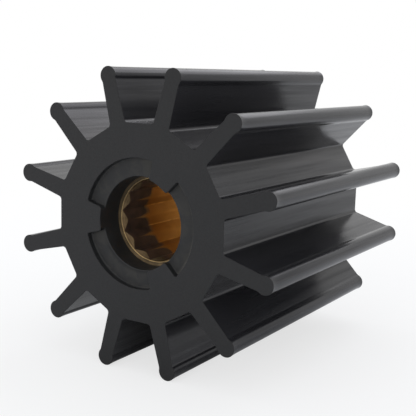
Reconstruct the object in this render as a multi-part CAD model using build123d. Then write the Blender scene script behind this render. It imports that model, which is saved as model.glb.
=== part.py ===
from build123d import *
import math
import os

# A rubber pump impeller: a rubber moulding with straight vanes, bonded on a metal bush.
# Millimetres. The axis lies along Y, with the near end at -Y, and the origin is on the axis at
# mid-length. +Z is up: the impeller lies on the two vanes either side of its lowest gap.

# Whole impeller
tip_diameter = 95.0
impeller_length = 95.2

# Vanes, each a tapered web with a round bead along its tip
vane_count = 12
bead_diameter = 5.6
web_at_bead = 4.8
web_at_hub = 5.7
neck_blend = 2.0
root_fillet = 1.2

# Hub, with one flat between each two vanes, and the small break round both end faces
hub_across_flats = 59.6
edge_break = 0.4

# Twelve-pointed bore of the bush: two hexagons, turned against each other
drive_across_flats = 22.0
drive_turn_from_vane = 7.5
lead_in_past_corners = 0.2

# Bush, set back from both end faces of the rubber
bush_wall = 3.3
bush_recess = 9.0

# Rubber round the ends of the bush, with pockets parted by lands in both end faces
rubber_lip = 1.9
pocket_width = 5.6
pocket_depth = 2.0
pocket_count = 3
land_angle = 30.0
pocket_corner = 0.6
land_corner = 1.1

# Worked out from the sizes above
DOWN = -90.0
HEXAGON = 6
vane_pitch = 360.0 / vane_count
first_vane = DOWN + vane_pitch / 2
bead_radius = bead_diameter / 2
bead_circle = tip_diameter / 2 - bead_radius
hub_apothem = hub_across_flats / 2
drive_corner_radius = drive_across_flats / 2 / math.cos(math.pi / HEXAGON)
lead_in_radius = drive_corner_radius + lead_in_past_corners
bush_radius = drive_corner_radius + bush_wall
bush_length = impeller_length - 2 * bush_recess
bore_radius = bush_radius - rubber_lip
pocket_radius = bore_radius + pocket_width
pocket_pitch = 360.0 / pocket_count
first_land = DOWN + vane_pitch


def along_axis(section, length):
    """Extrude a section across the axis to the same distance each side of mid-length."""
    near_end = Plane.XZ.offset(length / 2)
    return extrude(near_end * section, amount=-length)


def at_both_ends(near_shape):
    """The shape at the near end, with its mirror image at the far end."""
    return near_shape + mirror(near_shape, about=Plane.XZ)


def beyond(shape, radius):
    """The corners of a flat shape that lie further from the axis than the radius."""
    return [corner for corner in shape.vertices() if Vector(corner).length > radius]


def within(shape, radius):
    """The corners of a flat shape that lie nearer to the axis than the radius."""
    return [corner for corner in shape.vertices() if Vector(corner).length < radius]


def vane_section():
    """One web and its bead, pointing along the local +X."""
    web = Polygon(
        (0, -web_at_hub / 2),
        (hub_apothem, -web_at_hub / 2),
        (bead_circle, -web_at_bead / 2),
        (bead_circle, web_at_bead / 2),
        (hub_apothem, web_at_hub / 2),
        (0, web_at_hub / 2),
        align=None,
    )
    return web + Pos(bead_circle, 0) * Circle(bead_radius)


def impeller_section():
    """The outline across the axis, with the roots and the necks of the vanes blended."""
    section = Rot(0, 0, first_vane) * RegularPolygon(hub_apothem, vane_count, major_radius=False)
    for number in range(vane_count):
        section += Rot(0, 0, first_vane + number * vane_pitch) * vane_section()
    section = make_face(section.faces()[0].outer_wire())
    mid_web = (hub_apothem + bead_circle) / 2
    section = fillet(beyond(section, mid_web), neck_blend)
    return fillet(within(section, mid_web), root_fillet)


def pocket_outline():
    """One pocket across the axis, drawn as a slice from the centre towards the local +X."""
    sweep = pocket_pitch - land_angle
    rim = CenterArc((0, 0), pocket_radius, -sweep / 2, sweep)
    slice_outline = rim + Line((0, 0), rim @ 0) + Line((0, 0), rim @ 1)
    return fillet(beyond(make_face(slice_outline), bore_radius), pocket_corner)


def pocket_recess():
    """The pockets of the near end and the mouth of the bore, round the corners of the lands."""
    section = Circle(bore_radius)
    for number in range(pocket_count):
        turn = first_land + (number + 0.5) * pocket_pitch
        section += Rot(0, 0, turn) * pocket_outline()
    mid_pocket = (bore_radius + pocket_radius) / 2
    section = fillet(within(section, mid_pocket), land_corner)
    return extrude(Plane.XZ.offset(impeller_length / 2) * section, amount=-pocket_depth)


def make_rubber_body():
    """Vanes, beads and hub in one moulding, hollow where the bush, the bore and the pockets are."""
    body = along_axis(impeller_section(), impeller_length)
    end_faces = body.faces().sort_by(Axis.Y)
    rims = end_faces[0].outer_wire().edges() + end_faces[-1].outer_wire().edges()
    body = chamfer(rims, edge_break)
    body -= along_axis(Circle(bore_radius), impeller_length)
    body -= along_axis(Circle(bush_radius), bush_length)
    return body - at_both_ends(pocket_recess())


def make_splined_insert():
    """The bush with its twelve-pointed bore, countersunk at 45 degrees at both ends."""
    hexagon = RegularPolygon(drive_across_flats / 2, HEXAGON, major_radius=False)
    points = hexagon + Rot(0, 0, 180 / HEXAGON) * hexagon
    points = Rot(0, 0, first_vane + drive_turn_from_vane) * points
    near_face = Plane(origin=(0, -bush_length / 2, 0), z_dir=(0, 1, 0))
    lead_in = near_face * Cone(
        lead_in_radius, 0, lead_in_radius, align=(Align.CENTER, Align.CENTER, Align.MIN)
    )
    bush = along_axis(Circle(bush_radius), bush_length)
    bush -= along_axis(points, bush_length)
    return bush - at_both_ends(lead_in)


os.makedirs("parts", exist_ok=True)
export_step(make_rubber_body(), "parts/rubber_body.step")
export_step(make_splined_insert(), "parts/splined_insert.step")
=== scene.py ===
"""Looks of a rubber pump impeller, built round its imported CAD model.

The axis lies along Y with the near end at -Y, +Z is up, and the origin is on the axis at
mid-length. Shapes are worked out in millimetres, and made() turns them into metres.
"""

import math

import bpy
import numpy as np
from mathutils import Matrix, Vector, geometry


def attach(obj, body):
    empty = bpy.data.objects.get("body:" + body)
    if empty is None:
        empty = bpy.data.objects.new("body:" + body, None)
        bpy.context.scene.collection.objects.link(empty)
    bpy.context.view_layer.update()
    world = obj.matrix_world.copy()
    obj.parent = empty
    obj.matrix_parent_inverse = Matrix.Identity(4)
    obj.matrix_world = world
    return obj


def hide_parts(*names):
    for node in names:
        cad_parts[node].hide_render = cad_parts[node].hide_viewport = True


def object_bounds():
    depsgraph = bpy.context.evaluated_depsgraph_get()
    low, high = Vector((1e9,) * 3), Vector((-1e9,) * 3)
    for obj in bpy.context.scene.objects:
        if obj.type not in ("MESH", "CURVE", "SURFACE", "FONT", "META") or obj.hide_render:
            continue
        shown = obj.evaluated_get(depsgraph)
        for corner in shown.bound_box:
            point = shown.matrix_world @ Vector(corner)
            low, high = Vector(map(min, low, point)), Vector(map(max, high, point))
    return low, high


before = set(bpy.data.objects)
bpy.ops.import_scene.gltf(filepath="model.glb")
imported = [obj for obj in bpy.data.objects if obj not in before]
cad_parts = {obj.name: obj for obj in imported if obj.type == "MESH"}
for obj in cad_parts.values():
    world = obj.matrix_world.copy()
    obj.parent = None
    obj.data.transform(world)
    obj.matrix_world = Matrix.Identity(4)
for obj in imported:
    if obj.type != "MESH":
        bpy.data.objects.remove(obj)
cad_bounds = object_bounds()

MM = 0.001

# Impeller, as in the CAD
TIP_DIAMETER = 95.0
LENGTH = 95.2
VANES = 12
BEAD_RADIUS = 2.8
WEB_AT_BEAD = 4.8
WEB_AT_HUB = 5.7
NECK_BLEND = 2.0
ROOT_FILLET = 1.2
HUB_APOTHEM = 29.8
FIRST_VANE = -75.0

# Bush, and the rubber round its ends
DRIVE_ACROSS_FLATS = 22.0
DRIVE_TURN_FROM_VANE = 7.5
LEAD_IN_PAST_CORNERS = 0.2
LEAD_IN_ANGLE = 45.0
BUSH_WALL = 3.3
BUSH_RECESS = 9.0
RUBBER_LIP = 1.9
POCKET_WIDTH = 5.6
POCKET_DEPTH = 2.0
POCKETS = 3
LAND_ANGLE = 30.0
LAND_CORNER = 1.1
FIRST_LAND = -60.0

# Rounded edges, finer than the CAD has them
END_EDGE = 0.18
POCKET_CORNER = 0.6
POCKET_EDGE = 0.3
LEAD_IN_EDGE = 0.3
TOOTH_EDGE = 0.12
CREST_ROUND = 3.0
VALLEY_ROUND = 0.4

# Foot of the pockets' walls and mouth of the bore, which both fade out beside the lands
POCKET_ROUND = 0.5
POCKET_FADE = 1.8
MOUTH_ROUND = 0.3
MOUTH_FADE = 1.6 * LAND_CORNER

# Beads: thinner and a little lower between their flared ends
BEAD_THINNING = 0.06
BEAD_DROP = 0.11
NECK_REACH = 0.27
FLARE_LENGTH = 4.5

# Steps that make up each round form
ROOT_STEPS = 7
NECK_STEPS = 6
BEAD_STEPS = 18
LAND_STEPS = 8
CORNER_STEPS = 5
POCKET_STEPS = 24
TOOTH_STEPS = 3
EDGE_STEPS = 4
LEAD_IN_STEPS = 3
BLEND_STEPS = 4
MOUTH_STEPS = 4
MOUTH_PARTS = 48
FLARE_STEPS = 8

# Steps along the straight sides, from a flare to mid-length and from end to end of the bush
SIDE_STEPS = 8
BORE_STEPS = 16

# Points closer than this are one point, and a mesh has one corner in each cell of a grid
SAME_POINT = 1e-6
CELLS_PER_MM = 2000

# Worked out from the sizes above
PITCH = 360.0 / VANES
HALF = LENGTH / 2
BEAD_CIRCLE = TIP_DIAMETER / 2 - BEAD_RADIUS
FIRST_CORNER = FIRST_VANE + DRIVE_TURN_FROM_VANE
DRIVE_CORNER = DRIVE_ACROSS_FLATS / math.sqrt(3)
LEAD_IN_RADIUS = DRIVE_CORNER + LEAD_IN_PAST_CORNERS
BUSH_RADIUS = DRIVE_CORNER + BUSH_WALL
BUSH_HALF = HALF - BUSH_RECESS
BORE_RADIUS = BUSH_RADIUS - RUBBER_LIP
POCKET_RADIUS = BORE_RADIUS + POCKET_WIDTH
POCKET_TURNS = [FIRST_LAND + (i + 0.5) * 360.0 / POCKETS for i in range(POCKETS)]
NEAR, FAR = -1, 1

# Places of the materials on each mesh
MOULDED, GROUND, POCKET, BORE = 0, 1, 2, 3
BROACHED, TURNED, FACED, EDGE = 0, 1, 2, 3


# Outlines across the axis: lists of (point, normal out of the material), as 2-D arrays


def polar(radius, degrees):
    angle = math.radians(degrees)
    return np.array([radius * math.cos(angle), radius * math.sin(angle)])


def unit(v):
    return v / np.linalg.norm(v)


def turned(outline, degrees):
    c, s = math.cos(math.radians(degrees)), math.sin(math.radians(degrees))
    turn = np.array([[c, -s], [s, c]])
    return [(turn @ p, turn @ n) for p, n in outline]


def flipped(outline):
    """The mirror image about the local X axis, in the opposite order."""
    flip = np.array([1.0, -1.0])
    return [(p * flip, n * flip) for p, n in reversed(outline)]


def arc(centre, radius, start, end, steps, hollow=False):
    """An arc from one direction to the other. On a hollow one the normals point to its centre."""
    a0, a1 = math.atan2(start[1], start[0]), math.atan2(end[1], end[0])
    sweep = (a1 - a0 + math.pi) % (2 * math.pi) - math.pi
    found = []
    for step in range(steps + 1):
        a = a0 + sweep * step / steps
        out = np.array([math.cos(a), math.sin(a)])
        found.append((centre + radius * out, -out if hollow else out))
    return found


def joined(*parts):
    """One outline from several, without the points that repeat the one before."""
    found = []
    for p, n in (corner for part in parts for corner in part):
        if not found or np.linalg.norm(found[-1][0] - p) > SAME_POINT:
            found.append((p, n))
    return found


def half_vane():
    """From the middle of a hub flat to the tip of the next vane, which points along +X."""
    flat_normal = polar(1, -PITCH / 2)
    taper = math.atan2((WEB_AT_HUB - WEB_AT_BEAD) / 2, BEAD_CIRCLE - HUB_APOTHEM)
    web_normal = np.array([math.sin(taper), -math.cos(taper)])
    web_reach = web_normal @ np.array([HUB_APOTHEM, -WEB_AT_HUB / 2])
    both = np.array([flat_normal, web_normal])
    root = np.linalg.solve(both, [HUB_APOTHEM + ROOT_FILLET, web_reach + ROOT_FILLET])
    bead = np.array([BEAD_CIRCLE, 0.0])
    along = np.array([math.cos(taper), math.sin(taper)])
    start = web_normal * (web_reach + NECK_BLEND)
    short = (start - bead) @ along
    gap = (start - bead) @ (start - bead) - (BEAD_RADIUS + NECK_BLEND) ** 2
    neck = start + along * (-short - math.sqrt(short**2 - gap))
    to_bead = unit(bead - neck)
    return joined(
        [(HUB_APOTHEM * flat_normal, flat_normal)],
        arc(root, ROOT_FILLET, -flat_normal, -web_normal, ROOT_STEPS, hollow=True),
        arc(neck, NECK_BLEND, -web_normal, to_bead, NECK_STEPS, hollow=True),
        arc(bead, BEAD_RADIUS, -to_bead, np.array([1.0, 0.0]), BEAD_STEPS),
    )


def impeller_outline():
    vane = joined(half_vane(), flipped(half_vane()))[:-1]
    return [c for i in range(VANES) for c in turned(vane, FIRST_VANE + i * PITCH)]


def pocket_outline():
    """From the middle of a land, over a pocket that points along +X, to the next land."""
    side = 180.0 / POCKETS - LAND_ANGLE / 2
    out, across = polar(1, -side), polar(1, 90 - side)
    reach = BORE_RADIUS + LAND_CORNER
    land = out * math.sqrt(reach**2 - LAND_CORNER**2) - across * LAND_CORNER
    inner = POCKET_RADIUS - POCKET_CORNER
    corner = out * math.sqrt(inner**2 - POCKET_CORNER**2) + across * POCKET_CORNER
    start = polar(1, -180.0 / POCKETS)
    middle = np.array([1.0, 0.0])
    axis = np.zeros(2)
    half = joined(
        arc(axis, BORE_RADIUS, start, unit(land), LAND_STEPS, hollow=True),
        arc(land, LAND_CORNER, -unit(land), across, CORNER_STEPS),
        arc(corner, POCKET_CORNER, -across, unit(corner), CORNER_STEPS, hollow=True),
        arc(axis, POCKET_RADIUS, unit(corner), middle, POCKET_STEPS, hollow=True),
    )
    return joined(half, flipped(half))[:-1]


def tooth_outline():
    """The twelve-pointed bore: two hexagons, with crests and corners a little rounded."""
    # With a corner at 0 degrees, its flats face 30 degrees to each side and a crest is at 15
    to_flat, to_crest = 30.0, PITCH / 2
    apothem = DRIVE_ACROSS_FLATS / 2
    flat, crest_out = polar(1, to_flat), polar(1, to_crest)
    valley_at = (apothem - VALLEY_ROUND) / math.cos(math.radians(to_flat))
    crest_at = (apothem + CREST_ROUND) / math.cos(math.radians(to_crest))
    valley = np.array([valley_at, 0.0])
    half = joined(
        arc(valley, VALLEY_ROUND, np.array([1.0, 0.0]), flat, TOOTH_STEPS, hollow=True),
        arc(crest_at * crest_out, CREST_ROUND, -flat, -crest_out, TOOTH_STEPS),
    )
    whole = joined(flipped(half), half)[:-1]
    return [c for i in range(VANES) for c in turned(whole, FIRST_CORNER + i * PITCH)]


# Closed meshes, built face by face with the true normal at each corner


class Shell:
    """A mesh in the making, whose rings are lists of (point, normal) in 3-D."""

    def __init__(self):
        self.points, self.known, self.faces, self.normals, self.finishes = [], {}, [], [], []

    def index(self, point):
        key = tuple(int(round(c * CELLS_PER_MM)) for c in point)
        if key not in self.known:
            self.known[key] = len(self.points)
            self.points.append(point)
        return self.known[key]

    def face(self, corners, finish):
        """Adds a face. The corners' normals say which side is out."""
        kept, seen = [], set()
        for point, normal in corners:
            number = self.index(point)
            if number not in seen:
                seen.add(number)
                kept.append((number, np.asarray(point), np.asarray(normal)))
        if len(kept) < 3:
            return
        area = np.zeros(3)
        for (_, a, _), (_, b, _) in zip(kept, kept[1:] + kept[:1]):
            area += np.cross(a - kept[0][1], b - kept[0][1])
        if area @ sum(normal for _, _, normal in kept) < 0:
            kept.reverse()
        self.faces.append([number for number, _, _ in kept])
        self.normals.extend(tuple(unit(normal)) for _, _, normal in kept)
        self.finishes.append(finish)

    def strip(self, ring, other, finish):
        """Faces between two closed rings with as many corners."""
        for i in range(len(ring)):
            j = (i + 1) % len(ring)
            self.face([ring[i], ring[j], other[j], other[i]], finish)

    def strips(self, rings, finish):
        """Faces from each ring to the next."""
        for one, other in zip(rings, rings[1:]):
            self.strip(one, other, finish)

    def fill(self, loops, end, depth, finish):
        """A flat face across the axis between the loops, which faces out of that end."""
        flat = [np.array([p for p, _ in loop]) for loop in loops]
        points = [Vector(p) for loop in flat for p in loop]
        edges, first = [], 0
        for loop in flat:
            edges += [(first + i, first + (i + 1) % len(loop)) for i in range(len(loop))]
            first += len(loop)
        found = geometry.delaunay_2d_cdt(points, edges, [], 0, SAME_POINT)
        made_points = np.array([tuple(p) for p in found[0]])
        for triangle in found[2]:
            corners = made_points[list(triangle)]
            if inside(corners.mean(axis=0), flat):
                self.face([placed(c, (0, 0), end, depth, 1.0) for c in corners], finish)

    def made(self, name, materials):
        mesh = bpy.data.meshes.new(name)
        mesh.from_pydata([tuple(c * MM for c in p) for p in self.points], [], self.faces)
        for material in materials:
            mesh.materials.append(material)
        mesh.polygons.foreach_set("material_index", self.finishes)
        mesh.polygons.foreach_set("use_smooth", [True] * len(self.faces))
        mesh.normals_split_custom_set(self.normals)
        mesh.update()
        piece = bpy.data.objects.new(name, mesh)
        bpy.context.scene.collection.objects.link(piece)
        return piece


def inside(point, loops):
    """Whether a point lies between the loops, by the number of sides to its right."""
    crossings = 0
    for loop in loops:
        a, b = loop, np.roll(loop, -1, axis=0)
        spans = (a[:, 1] > point[1]) != (b[:, 1] > point[1])
        a, b = a[spans], b[spans]
        at = a[:, 0] + (point[1] - a[:, 1]) / (b[:, 1] - a[:, 1]) * (b[:, 0] - a[:, 0])
        crossings += int((at > point[0]).sum())
    return crossings % 2 == 1


def placed(point, normal, end, depth, facing):
    """A corner at a depth below an end face. Facing is how far its normal turns to that end."""
    x, z = point
    side = math.sqrt(max(0.0, 1 - facing**2))
    return (x, end * (HALF - depth), z), (normal[0] * side, end * facing, normal[1] * side)


def ring(outline, end, depth, facing=0.0):
    return [placed(p, n, end, depth, facing) for p, n in outline]


def rounded_rim(shell, outline, end, radius, finish):
    """Rounds an end face's edge over to its wall. Gives the flat outline and the wall's ring."""
    rings, flat = [], None
    for step in range(EDGE_STEPS + 1):
        turn = math.pi / 2 * step / EDGE_STEPS
        moved = [(p - n * radius * (1 - math.sin(turn)), n) for p, n in outline]
        flat = flat or moved
        rings.append(ring(moved, end, radius * (1 - math.cos(turn)), math.cos(turn)))
    shell.strips(rings, finish)
    return flat, rings[-1]


def pocket_blends(walls):
    """The radius between floor and wall at each corner of a pocket, none beside the lands."""
    steps = [np.linalg.norm(b[0] - a[0]) for a, b in zip(walls, walls[1:])]
    along = np.concatenate([[0.0], np.cumsum(steps)])
    from_land = np.minimum(along, along[-1] - along)
    part = np.clip((from_land - LAND_CORNER) / POCKET_FADE, 0, 1)
    return POCKET_ROUND * part * part * (3 - 2 * part)


def blended(outline, radii, end, lean):
    """A ring on the rounded corner between walls, where the lean is 0, and floor."""
    found = []
    for (p, n), radius in zip(outline, radii):
        depth = POCKET_DEPTH - radius * (1 - math.sin(lean))
        found.append(placed(p + n * radius * (1 - math.cos(lean)), n, end, depth, math.sin(lean)))
    return found


def wall_feet(shell, wall, mouth, radii, end):
    """The walls of the pockets and lands below their edge, blended into the floors."""
    leans = [math.pi / 2 * step / BLEND_STEPS for step in range(BLEND_STEPS + 1)]
    rings = [blended(mouth, radii, end, lean) for lean in leans]
    half = BLEND_STEPS // 2
    shell.strips([wall] + rings[: half + 1], BORE)
    shell.strips(rings[half:], POCKET)


def pocket_mouth(first, last, end):
    """Rings that round a pocket's floor over into the bore, fading out beside the lands."""
    start = math.atan2(first[1], first[0])
    sweep = (math.atan2(last[1], last[0]) - start) % (2 * math.pi)
    rings = [[] for _ in range(MOUTH_STEPS + 1)]
    for step in range(MOUTH_PARTS + 1):
        turn = start + sweep * step / MOUTH_PARTS
        out = np.array([math.cos(turn), math.sin(turn)])
        beside = min(step, MOUTH_PARTS - step) / MOUTH_PARTS * sweep * BORE_RADIUS
        part = min(1.0, beside / MOUTH_FADE)
        radius = MOUTH_ROUND * part**3 * (4 - 3 * part)
        for number, found in enumerate(rings):
            lean = math.pi / 2 * number / MOUTH_STEPS
            at = (BORE_RADIUS + radius * (1 - math.sin(lean))) * out
            if step in (0, MOUTH_PARTS):
                at = first if step == 0 else last
            down = POCKET_DEPTH + radius * (1 - math.cos(lean))
            found.append(placed(at, -out, end, down, math.cos(lean)))
    return rings


def pocket_floors(shell, pocket, walls, radii, end):
    """The floors of the pockets. Gives the rings that lead from them and the lands down."""
    rings = [[] for _ in range(MOUTH_STEPS + 1)]
    for turn in POCKET_TURNS:
        around = turned(pocket, turn)
        wall = around[walls]
        land = ring(around[:LAND_STEPS], end, POCKET_DEPTH)
        other_land = ring(around[-LAND_STEPS:], end, POCKET_DEPTH)
        mouth = pocket_mouth(wall[0][0], wall[-1][0], end)
        inner = [(np.array([x, z]), None) for (x, _, z), _ in mouth[0]]
        foot = [(p + n * radius, n) for (p, n), radius in zip(wall, radii)]
        shell.fill([foot + inner[::-1][1:-1]], end, POCKET_DEPTH, POCKET)
        for found, part in zip(rings, mouth):
            found += land + part + other_land
    return rings


def bush_seat(shell, rim, end):
    """The bore below the pockets, and the lip over the bush's rim. Gives the seat's ring."""
    bore = [(p, (n[0], 0.0, n[2])) for p, n in rim]
    outs = [unit(np.array([x, z])) for (x, _, z), _ in rim]
    lip = [placed(out * BORE_RADIUS, -out, end, BUSH_RECESS, 0.0) for out in outs]
    seat = [placed(out * BUSH_RADIUS, -out, end, BUSH_RECESS, 0.0) for out in outs]
    shell.strip(bore, lip, BORE)
    facing_in = (0.0, -float(end), 0.0)
    shell.strip([(p, facing_in) for p, _ in lip], [(p, facing_in) for p, _ in seat], BORE)
    return seat


def rubber_end(shell, outline, end):
    """One end face with its pockets and its part of the bore. Gives the seat's ring."""
    pocket = pocket_outline()
    mouth = [c for turn in POCKET_TURNS for c in turned(pocket, turn)]
    walls = slice(LAND_STEPS, len(pocket) - LAND_STEPS + 1)
    radii = np.zeros(len(pocket))
    radii[walls] = pocket_blends(pocket[walls])
    rim, _ = rounded_rim(shell, outline, end, END_EDGE, GROUND)
    edge, wall = rounded_rim(shell, mouth, end, POCKET_EDGE, GROUND)
    shell.fill([rim, edge], end, 0.0, GROUND)
    wall_feet(shell, wall, mouth, np.tile(radii, POCKETS), end)
    rings = pocket_floors(shell, pocket, walls, radii[walls], end)
    shell.strips(rings, BORE)
    return bush_seat(shell, rings[-1], end)


def bead_moves(outline):
    """How far each corner of the outline moves inwards between the ends of the vanes."""
    moves = []
    for p, _ in outline:
        turn = math.degrees(math.atan2(p[1], p[0])) - FIRST_VANE
        out = polar(1, FIRST_VANE + round(turn / PITCH) * PITCH)
        from_bead = p - BEAD_CIRCLE * out
        reach = np.linalg.norm(from_bead)
        part = np.clip(1 - (reach - BEAD_RADIUS) / NECK_REACH, 0, 1)
        moves.append(-part * (BEAD_THINNING * from_bead / reach + BEAD_DROP * out))
    return moves


def vane_sides(shell, outline):
    """The moulded sides from end to end, with the beads flared at both ends."""
    moves = bead_moves(outline)
    depths = [END_EDGE + FLARE_LENGTH * step / FLARE_STEPS for step in range(FLARE_STEPS + 1)]
    middle = HALF - depths[-1]
    depths += [depths[-1] + middle * step / SIDE_STEPS for step in range(1, SIDE_STEPS)]
    places = [(NEAR, depth) for depth in depths] + [(FAR, depth) for depth in reversed(depths)]
    rings = []
    for end, depth in places:
        left = max(0.0, 1 - (depth - END_EDGE) / FLARE_LENGTH)
        thinned, slope = 1 - left**3, 3 * left**2 / FLARE_LENGTH
        rings.append([
            (
                (p[0] + move[0] * thinned, end * (HALF - depth), p[1] + move[1] * thinned),
                (n[0], end * slope * float(move @ n), n[1]),
            )
            for (p, n), move in zip(outline, moves)
        ])
    shell.strips(rings, MOULDED)


def rubber_shell():
    shell = Shell()
    outline = impeller_outline()
    seats = [rubber_end(shell, outline, end) for end in (NEAR, FAR)]
    shell.strip(seats[0], seats[1], BORE)
    vane_sides(shell, outline)
    return shell


def bush_ring(teeth, end, radii, depths, facing):
    """A ring by radius and by depth below the bush's face at each corner of the teeth."""
    found = []
    for (p, n), radius, depth in zip(teeth, radii, depths):
        out = unit(p)
        normal = -out if facing else n
        found.append(placed(out * radius, normal, end, BUSH_RECESS + depth, facing))
    return found


def between(one, other, steps):
    """Rings from one to another in equal steps, with the normals of the first."""
    rings = []
    for step in range(steps + 1):
        part = step / steps
        rings.append([
            (tuple(np.asarray(p) * (1 - part) + np.asarray(q) * part), n)
            for (p, n), (q, _) in zip(one, other)
        ])
    return rings


def bush_shell():
    shell = Shell()
    teeth = tooth_outline()
    crest_radii = np.array([np.linalg.norm(p) for p, _ in teeth])
    level = np.ones(len(teeth))
    # Lengths that the rounded edges take off face, cone and teeth
    edge = LEAD_IN_EDGE * math.tan(math.radians(LEAD_IN_ANGLE / 2))
    tip = TOOTH_EDGE * math.tan(math.radians(LEAD_IN_ANGLE / 2))
    slope = math.sqrt(0.5)
    inner, outer = [], []
    for end in (NEAR, FAR):
        face = bush_ring(teeth, end, BUSH_RADIUS * level, 0 * level, 1.0)
        edges = [bush_ring(teeth, end, (LEAD_IN_RADIUS + edge) * level, 0 * level, 1.0)]
        for step in range(1, LEAD_IN_STEPS + 1):
            a = math.radians(LEAD_IN_ANGLE * step / LEAD_IN_STEPS)
            radius = LEAD_IN_RADIUS + edge - LEAD_IN_EDGE * math.sin(a)
            depth = LEAD_IN_EDGE * (1 - math.cos(a))
            edges.append(bush_ring(teeth, end, radius * level, depth * level, math.cos(a)))
        cone_radii = crest_radii + tip * slope
        cone_depths = LEAD_IN_RADIUS - crest_radii - tip * slope
        cone_end = bush_ring(teeth, end, cone_radii, cone_depths, slope)
        wall = bush_ring(teeth, end, crest_radii, LEAD_IN_RADIUS - crest_radii + tip, 0.0)
        shell.strip(face, edges[0], FACED)
        shell.strips(edges, EDGE)
        shell.strips([edges[-1], cone_end, wall], TURNED)
        inner.append(wall)
        outs = [unit(p) for p, _ in teeth]
        outer.append([(p, (out[0], 0.0, out[1])) for (p, _), out in zip(face, outs)])
    shell.strips(between(inner[0], inner[1], BORE_STEPS), BROACHED)
    shell.strip(outer[0], outer[1], TURNED)
    return shell


# Materials. Textures are laid out in metres along the object's own axes

# Rubber, each finish from a dark to a light colour
MOULDED_COLOURS = (0.0140, 0.0139, 0.0160), (0.0215, 0.0210, 0.0229)
GROUND_COLOURS = (0.0036, 0.0036, 0.0043), (0.0058, 0.0058, 0.0066)
POCKET_COLOURS = (0.0245, 0.0245, 0.0252), (0.034, 0.033, 0.031)
BORE_COLOURS = (0.0135, 0.0139, 0.0145), (0.0180, 0.0183, 0.0188)
# Painted shade on the pockets' floors where they round over into the bore
MOUTH_SHADE_COLOUR = (0.0090, 0.0092, 0.0096)
# Painted highlight on the pockets' floors beside their outer wall
PAINTED_SHEEN_COLOUR = (0.082, 0.078, 0.070)

# Shine of the rubber, and its tints on webs and flats and on the beads, which part in a band
# of radii in millimetres
MOULDED_IOR = 1.33
MOULDED_SHINE = 0.28, 0.62
GROUND_SHINE = 0.45
HAZE_TINTS = (1.0, 0.965, 0.94), (0.97, 0.975, 1.0)
BEAD_TINT = (0.965, 0.965, 1.0)
WEB_TO_BEAD = 36.0, 43.0

# Painted highlight on the pockets' floors, in millimetres inside of their outer wall and to the
# right
PAINTED_SHEEN_BAND = 1.4, 0.7
PAINTED_SHEEN_FROM_LEFT = 0.0, 12.0

# Painted shade at the floors' edge low in the bore, in millimetres beyond the bore and by height
MOUTH_SHADE_BAND = 1.5
MOUTH_SHADE_HEIGHTS = -10.0, -2.0

# Brass, each finish from a dark to a light colour
BROACHED_COLOURS = (0.53, 0.328, 0.114), (0.63, 0.40, 0.144)
COUNTERSINK_COLOURS = (0.075, 0.050, 0.027), (0.18, 0.124, 0.068)
FACE_COLOURS = (0.08, 0.056, 0.030), (0.32, 0.225, 0.120)
EDGE_COLOURS = (0.16, 0.111, 0.055), (0.66, 0.46, 0.21)
# Colour of the painted highlight along the bottoms of the grooves
VALLEY_GLINT_COLOUR = (0.92, 0.66, 0.26)
LATHE_RINGS_PER_METRE = 4200.0

# Painted shade on the bush, darker towards the top, by height in millimetres
PAINTED_SHADE_COLOUR = (0.05, 0.036, 0.022)
PAINTED_SHADE_HEIGHTS = -12.0, 4.0

# Film in the drive bore, in millimetres: how far it reaches from the near mouth in the grooves
# and on the crests, how much that varies, over which length it thins out in the grooves and on
# the crests, and how far the brown stain goes on past it
FILM_COLOURS = (0.031, 0.022, 0.019), (0.078, 0.047, 0.034)
FILM_REACH = 13.0, 9.0
FILM_WANDER = 1.0
FILM_THINNING = 1.4, 7.0
FILM_STAIN = 12.0
FILM_STAIN_COLOUR = (0.36, 0.20, 0.08)


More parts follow.
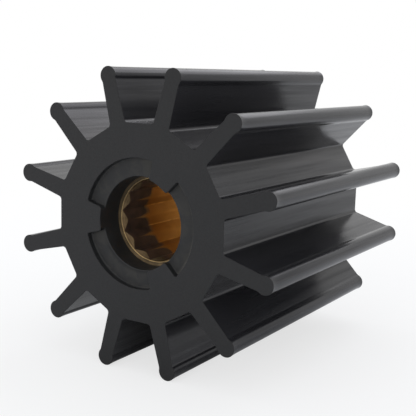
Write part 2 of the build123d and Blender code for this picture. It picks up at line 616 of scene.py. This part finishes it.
class Look:
    """A node material that is put together in a few lines."""

    def __init__(self, name):
        self.material = bpy.data.materials.new(name)
        self.material.use_nodes = True
        self.tree = self.material.node_tree
        self.shader = self.tree.nodes["Principled BSDF"]

    def node(self, kind, **values):
        made = self.tree.nodes.new(kind)
        for key, value in values.items():
            setattr(made, key, value)
        return made

    def link(self, source, target):
        self.tree.links.new(source, target)

    def use(self, socket, source):
        """Links an output to the shader."""
        self.link(source, self.shader.inputs[socket])

    def fix(self, socket, value):
        """Sets a value of the shader that is the same all over."""
        self.shader.inputs[socket].default_value = value

    def place(self, scale):
        """Coordinates along the axes, multiplied by a scale for each."""
        where = self.node("ShaderNodeTexCoord")
        mapping = self.node("ShaderNodeMapping")
        mapping.inputs["Scale"].default_value = scale
        self.link(where.outputs["Object"], mapping.inputs["Vector"])
        return mapping.outputs["Vector"]

    def radius(self):
        """The distance from the axis."""
        flat = self.node("ShaderNodeVectorMath", operation="LENGTH")
        self.link(self.place((1.0, 0.0, 1.0)), flat.inputs[0])
        return flat.outputs["Value"]

    def axes(self):
        """The distances along the three axes."""
        parts = self.node("ShaderNodeSeparateXYZ")
        self.link(self.node("ShaderNodeTexCoord").outputs["Object"], parts.inputs["Vector"])
        return [parts.outputs[axis] for axis in "XYZ"]

    def noise(self, scale, detail=2.0, roughness=0.5, distortion=0.0):
        """Noise by waves per metre along each axis, most of it between 0.3 and 0.7."""
        made = self.node("ShaderNodeTexNoise")
        made.inputs["Scale"].default_value = 1.0
        made.inputs["Detail"].default_value = detail
        made.inputs["Roughness"].default_value = roughness
        made.inputs["Distortion"].default_value = distortion
        self.link(self.place(scale), made.inputs["Vector"])
        return made.outputs["Fac"]

    def even_noise(self, scale, **values):
        """Noise with as many waves per metre along each axis."""
        return self.noise((scale, scale, scale), **values)

    def ranged(self, value, low, high, to_low, to_high):
        """A value between two limits, carried over to two others and held there."""
        made = self.node("ShaderNodeMapRange")
        limits = {"From Min": low, "From Max": high, "To Min": to_low, "To Max": to_high}
        for name, number in limits.items():
            made.inputs[name].default_value = number
        self.link(value, made.inputs["Value"])
        return made.outputs["Result"]

    def faded(self, place, limits, start, finish):
        """As ranged, for a place in metres and its two limits in millimetres."""
        return self.ranged(place, limits[0] * MM, limits[1] * MM, start, finish)

    def spread(self, noise, start=0.0, finish=1.0, half=0.2):
        """The middle of a noise, to so much on each side of 0.5, carried over to two limits."""
        return self.ranged(noise, 0.5 - half, 0.5 + half, start, finish)

    def mixed(self, factor, dark, light):
        """From one colour to the other. Either is three numbers or another node's output."""
        made = self.node("ShaderNodeMix", data_type="RGBA")
        self.link(factor, made.inputs["Factor"])
        for socket, colour in zip((made.inputs[6], made.inputs[7]), (dark, light)):
            if isinstance(colour, tuple):
                socket.default_value = (*colour, 1.0)
            else:
                self.link(colour, socket)
        return made.outputs[2]

    def bumped(self, layers):
        """Bump from several (height, depth in metres) layers, one on top of another."""
        last = None
        for height, depth in layers:
            made = self.node("ShaderNodeBump")
            made.inputs["Strength"].default_value = 1.0
            made.inputs["Distance"].default_value = depth
            self.link(height, made.inputs["Height"])
            if last:
                self.link(last, made.inputs["Normal"])
            last = made.outputs["Normal"]
        self.use("Normal", last)

    def worked_out(self, operation, *values):
        """The result of a math node. Its values are numbers or other nodes' outputs."""
        made = self.node("ShaderNodeMath", operation=operation)
        for socket, value in zip(made.inputs, values):
            if isinstance(value, (int, float)):
                socket.default_value = value
            else:
                self.link(value, socket)
        return made.outputs[0]

    def product(self, *factors):
        """Several values, multiplied by one another."""
        result = factors[0]
        for factor in factors[1:]:
            result = self.worked_out("MULTIPLY", result, factor)
        return result


def moulded_rubber():
    """The sides: smooth from the mould, with faint marks drawn along the axis."""
    look = Look("rubber_moulded")
    marks = look.noise((420.0, 7.0, 420.0))
    streaks = look.noise((650.0, 16.0, 650.0), detail=4.0, roughness=0.6)
    cloud = look.noise((60.0, 25.0, 60.0), detail=4.0, distortion=0.6)
    grain = look.even_noise(5000.0, detail=1.0)
    wave = look.noise((110.0, 9.0, 110.0), detail=1.0)
    look.use("Base Color", look.mixed(cloud, *MOULDED_COLOURS))
    look.use("Roughness", look.spread(marks, 0.14, 0.27))
    look.fix("IOR", MOULDED_IOR)
    look.use("Specular IOR Level", look.spread(streaks, *MOULDED_SHINE, half=0.18))
    on_bead = look.faded(look.radius(), WEB_TO_BEAD, 0.0, 1.0)
    haze = look.mixed(look.spread(cloud, half=0.1), *HAZE_TINTS)
    look.use("Specular Tint", look.mixed(on_bead, haze, BEAD_TINT))
    look.bumped([(wave, 0.00013), (marks, 0.000008), (grain, 0.0000012)])
    return look.material


def ground_rubber():
    """The end faces: cut and ground flat, so dull and even."""
    look = Look("rubber_ground")
    cloud = look.even_noise(90.0, detail=5.0, distortion=0.4)
    grain = look.even_noise(2600.0, detail=3.0)
    look.use("Base Color", look.mixed(cloud, *GROUND_COLOURS))
    look.use("Roughness", look.spread(grain, 0.52, 0.68))
    look.fix("Specular IOR Level", GROUND_SHINE)
    look.bumped([(grain, 0.000012)])
    return look.material


def hollow_rubber(name, colours, shine, floors=False):
    """Walls or floors of the hollows: as moulded, with bloom; floors with painted shade and a
    painted highlight too.
    """
    look = Look(name)
    bloom = look.even_noise(260.0, detail=5.0, roughness=0.6, distortion=0.8)
    grain = look.even_noise(1500.0)
    colour = look.mixed(look.ranged(bloom, 0.42, 0.66, 0.0, 1.0), *colours)
    if floors:
        x, _, z = look.axes()
        # Painted shade: the floors darken where they round over into the bore, towards the bottom
        mouth_shade_band = BORE_RADIUS, BORE_RADIUS + MOUTH_SHADE_BAND
        wear_and_shade = look.product(
            look.faded(look.radius(), mouth_shade_band, 0.8, 0.0),
            look.faded(z, MOUTH_SHADE_HEIGHTS, 1.0, 0.0),
        )
        colour = look.mixed(wear_and_shade, colour, MOUTH_SHADE_COLOUR)
        # Painted highlight: a lighter, patchy band inside the outer wall, on the right-hand
        # floors only
        lumps = look.even_noise(190.0, detail=4.0, distortion=0.8)
        sheen_band = POCKET_RADIUS - PAINTED_SHEEN_BAND[0], POCKET_RADIUS - PAINTED_SHEEN_BAND[1]
        painted_sheen = look.product(
            look.faded(look.radius(), sheen_band, 0.0, 1.0),
            look.faded(x, PAINTED_SHEEN_FROM_LEFT, 0.0, 1.0),
            look.ranged(lumps, 0.36, 0.56, 0.4, 1.0),
        )
        colour = look.mixed(painted_sheen, colour, PAINTED_SHEEN_COLOUR)
    look.use("Base Color", colour)
    look.use("Roughness", look.spread(bloom, 0.42, 0.6))
    look.fix("Specular IOR Level", shine)
    look.bumped([(bloom, 0.00005), (grain, 0.00001)])
    return look.material


def brass(look, marks, tarnish, colours, roughness, depth):
    """Gives a look tool marks of a depth in metres, and returns the tarnished brass's colour."""
    look.use("Roughness", look.spread(marks, *roughness))
    look.bumped([(marks, depth)])
    return look.mixed(look.spread(tarnish, half=0.14), *colours)


def broached_brass():
    """The drive bore, with the dark film that ran along its grooves from the near mouth."""
    look = Look("bush_broached")
    marks = look.noise((900.0, 30.0, 900.0), detail=3.0)
    tarnish = look.noise((260.0, 110.0, 260.0), detail=4.0, distortion=0.5)
    colour = brass(look, marks, tarnish, BROACHED_COLOURS, (0.40, 0.48), 0.000001)
    x, y, z = look.axes()
    turn = look.worked_out("ARCTAN2", z, x)
    grooves = look.worked_out("MULTIPLY_ADD", turn, VANES / (2 * math.pi), -FIRST_CORNER / PITCH)
    # From 0 in a groove to 0.5 on a crest, and from 0 to 1 with a wide flat bottom
    beside = look.worked_out("PINGPONG", grooves, 0.5)
    to_crest = look.worked_out("POWER", look.product(beside, 2.0), 6.0)
    wander = look.noise((330.0, 260.0, 330.0), detail=3.0)
    patches = look.spread(wander, half=0.14)
    reach = look.worked_out(
        "ADD",
        look.ranged(to_crest, 0.0, 1.0, FILM_REACH[0] * MM, FILM_REACH[1] * MM),
        look.spread(wander, -FILM_WANDER * MM, FILM_WANDER * MM),
    )
    depth = look.worked_out("ADD", y, BUSH_HALF * MM)
    in_film = look.worked_out("SUBTRACT", reach, depth)
    thinning = look.ranged(to_crest, 0.0, 1.0, FILM_THINNING[0] * MM, FILM_THINNING[1] * MM)
    film = look.ranged(look.worked_out("DIVIDE", in_film, thinning), -0.2, 0.8, 0.0, 1.0)
    stain_and_shade = look.faded(in_film, (-FILM_STAIN, 0.0), 0.0, 0.5)
    colour = look.mixed(stain_and_shade, colour, FILM_STAIN_COLOUR)
    # Painted highlight: a thin bright line along the bottom of each groove, in patches
    painted_glint = look.product(look.ranged(beside, 0.015, 0.045, 0.8, 0.0), patches)
    colour = look.mixed(painted_glint, colour, VALLEY_GLINT_COLOUR)
    look.fix("Anisotropic", 0.8)
    around = look.node("ShaderNodeTangent", direction_type="RADIAL", axis="Y")
    look.use("Tangent", around.outputs["Tangent"])
    look.use("Base Color", look.mixed(film, colour, look.mixed(patches, *FILM_COLOURS)))
    look.use("Metallic", look.ranged(film, 0.0, 1.0, 1.0, 0.0))
    return look.material


def turned_brass(name, colours, roughness, metal=1.0, painted_shade=0.0):
    """The faces and the countersinks of the bush, with rings from the lathe and painted shade on
    top.
    """
    look = Look(name)
    wear_and_shade = look.even_noise(420.0, detail=3.0)
    lathe = look.node("ShaderNodeTexNoise", noise_dimensions="1D")
    lathe.inputs["Scale"].default_value = 1.0
    lathe.inputs["Detail"].default_value = 2.0
    look.link(look.product(look.radius(), LATHE_RINGS_PER_METRE), lathe.inputs["W"])
    rings = lathe.outputs["Fac"]
    tarnish = look.worked_out("MULTIPLY_ADD", rings, 0.5, look.product(wear_and_shade, 0.5))
    colour = brass(look, rings, tarnish, colours, roughness, 0.000012)
    # Painted shade: the brass turns darker towards the top, by the amount given
    stain_and_shade = look.faded(look.axes()[2], PAINTED_SHADE_HEIGHTS, 0.0, painted_shade)
    look.use("Base Color", look.mixed(stain_and_shade, colour, PAINTED_SHADE_COLOUR))
    look.fix("Metallic", metal)
    return look.material


# Stage. The floor's distances are in metres from below the object

WORLD_COLOUR = (0.93, 0.96, 1.0)
WORLD_LIGHT = 0.82
FLOOR_REACH = 3.0
FLOOR_COLOUR = (0.87, 0.87, 0.87)
FLOOR_GLOW = 0.70
FLOOR_LIT, FLOOR_FADE = 0.12, 0.34
FLOOR_SHADED, FLOOR_MIRRORED = 0.10, 0.80
WHITE = (1.0, 1.0, 1.0)

# Camera at the photograph's place, found by fitting the CAD's edges to it
CAMERA_PLACE = (0.14654, -0.24362, 0.04638)
CAMERA_FORWARD = (-0.52130, 0.83723, -0.16523)
CAMERA_UP = (-0.11152, 0.12512, 0.98585)
CAMERA_LENS = 72.69
CAMERA_SENSOR = 36.0
CAMERA_CLIP = 0.01


def studio_world():
    """White where it is seen, mirrored or looked through, and a soft light otherwise."""
    world = bpy.data.worlds.new("studio")
    world.use_nodes = True
    tree = world.node_tree
    tree.nodes.clear()
    path = tree.nodes.new("ShaderNodeLightPath")
    seen = path.outputs["Is Camera Ray"]
    for other in ("Is Glossy Ray", "Is Transmission Ray"):
        either = tree.nodes.new("ShaderNodeMath")
        either.operation = "MAXIMUM"
        tree.links.new(seen, either.inputs[0])
        tree.links.new(path.outputs[other], either.inputs[1])
        seen = either.outputs[0]
    mix = tree.nodes.new("ShaderNodeMixShader")
    tree.links.new(seen, mix.inputs["Fac"])
    lights = ((WORLD_COLOUR, WORLD_LIGHT), (WHITE, 1.0))
    for socket, (colour, strength) in zip((mix.inputs[1], mix.inputs[2]), lights):
        light = tree.nodes.new("ShaderNodeBackground")
        light.inputs["Color"].default_value = (*colour, 1.0)
        light.inputs["Strength"].default_value = strength
        tree.links.new(light.outputs[0], socket)
    output = tree.nodes.new("ShaderNodeOutputWorld")
    tree.links.new(mix.outputs[0], output.inputs["Surface"])
    bpy.context.scene.world = world


def floor_look():
    """White, with the object's shadow, and plain white further off to meet the world's."""
    look = Look("floor_white")
    tree = look.tree
    tree.nodes.remove(look.shader)
    path = look.node("ShaderNodeLightPath").outputs
    where = look.node("ShaderNodeTexCoord")
    flat = look.node("ShaderNodeVectorMath", operation="LENGTH")
    look.link(where.outputs["Object"], flat.inputs[0])
    away = flat.outputs["Value"]
    far = look.ranged(away, FLOOR_LIT, FLOOR_FADE, FLOOR_GLOW, 1.0)
    further = look.ranged(away, FLOOR_SHADED, FLOOR_MIRRORED, 0.0, 1.0)
    seen = look.product(path["Is Camera Ray"], far)
    mirrored = look.worked_out("MAXIMUM", path["Is Glossy Ray"], path["Is Transmission Ray"])
    white = look.worked_out("MAXIMUM", seen, look.product(mirrored, further))
    paint = look.node("ShaderNodeBsdfDiffuse")
    paint.inputs["Color"].default_value = (*FLOOR_COLOUR, 1.0)
    glow = look.node("ShaderNodeEmission")
    mix = look.node("ShaderNodeMixShader")
    look.link(white, mix.inputs["Fac"])
    look.link(paint.outputs[0], mix.inputs[1])
    look.link(glow.outputs[0], mix.inputs[2])
    look.link(mix.outputs[0], tree.nodes["Material Output"].inputs["Surface"])
    return look.material


def softbox(name, place, target, size, power, colour=WHITE, glossy=False):
    light = bpy.data.lights.new(name, "AREA")
    light.shape, light.size, light.energy, light.color = "SQUARE", size, power, colour
    lamp = bpy.data.objects.new(name, light)
    lamp.location = place
    lamp.rotation_euler = (Vector(target) - Vector(place)).to_track_quat("-Z", "Y").to_euler()
    lamp.visible_glossy = glossy
    bpy.context.scene.collection.objects.link(lamp)


def camera_at_photo():
    lens = bpy.data.cameras.new("camera")
    lens.lens, lens.sensor_width, lens.sensor_fit = CAMERA_LENS, CAMERA_SENSOR, "HORIZONTAL"
    lens.clip_start = CAMERA_CLIP
    camera = bpy.data.objects.new("camera", lens)
    forward, up = Vector(CAMERA_FORWARD).normalized(), Vector(CAMERA_UP)
    right = forward.cross(up).normalized()
    up = right.cross(forward)
    turn = Matrix((right, up, -forward)).transposed().to_4x4()
    camera.matrix_world = Matrix.Translation(CAMERA_PLACE) @ turn
    bpy.context.scene.collection.objects.link(camera)
    return camera


rubber = rubber_shell().made(
    "impeller_rubber",
    [
        moulded_rubber(),
        ground_rubber(),
        hollow_rubber("rubber_pocket", POCKET_COLOURS, shine=0.1, floors=True),
        hollow_rubber("rubber_bore", BORE_COLOURS, shine=0.3),
    ],
)
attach(rubber, "root")
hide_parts("rubber_body")

bush = bush_shell().made(
    "drive_bush",
    [
        broached_brass(),
        turned_brass("bush_countersink", COUNTERSINK_COLOURS, (0.32, 0.46)),
        # Face and edge carry painted shade towards the top
        turned_brass("bush_face", FACE_COLOURS, (0.40, 0.50), metal=0.5, painted_shade=0.75),
        turned_brass("bush_edge", EDGE_COLOURS, (0.22, 0.30), painted_shade=0.6),
    ],
)
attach(bush, "root")
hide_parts("splined_insert")

floor_mesh = bpy.data.meshes.new("floor")
floor_corners = [(-1, -1), (1, -1), (1, 1), (-1, 1)]
floor_mesh.from_pydata(
    [(x * FLOOR_REACH, y * FLOOR_REACH, 0) for x, y in floor_corners], [], [(0, 1, 2, 3)]
)
floor_mesh.materials.append(floor_look())
floor = bpy.data.objects.new("floor", floor_mesh)
floor.location = (0, 0, cad_bounds[0].z)
bpy.context.scene.collection.objects.link(floor)

studio_world()
softbox(
    "softbox_back", (0.042, 0.480, 0.575), (0, 0, 0), size=0.58, power=1.6,
    colour=(0.95, 0.94, 1.0), glossy=True,
)
softbox("softbox_left", (-0.55, 0.05, 0.22), (-0.03, 0, -0.04), size=0.30, power=0.5)
softbox("softbox_front", (0.04, -0.62, 0.12), (0, 0, 0), size=0.40, power=1.5)

bpy.context.scene.camera = camera_at_photo()
bpy.context.scene.view_settings.view_transform = "Standard"
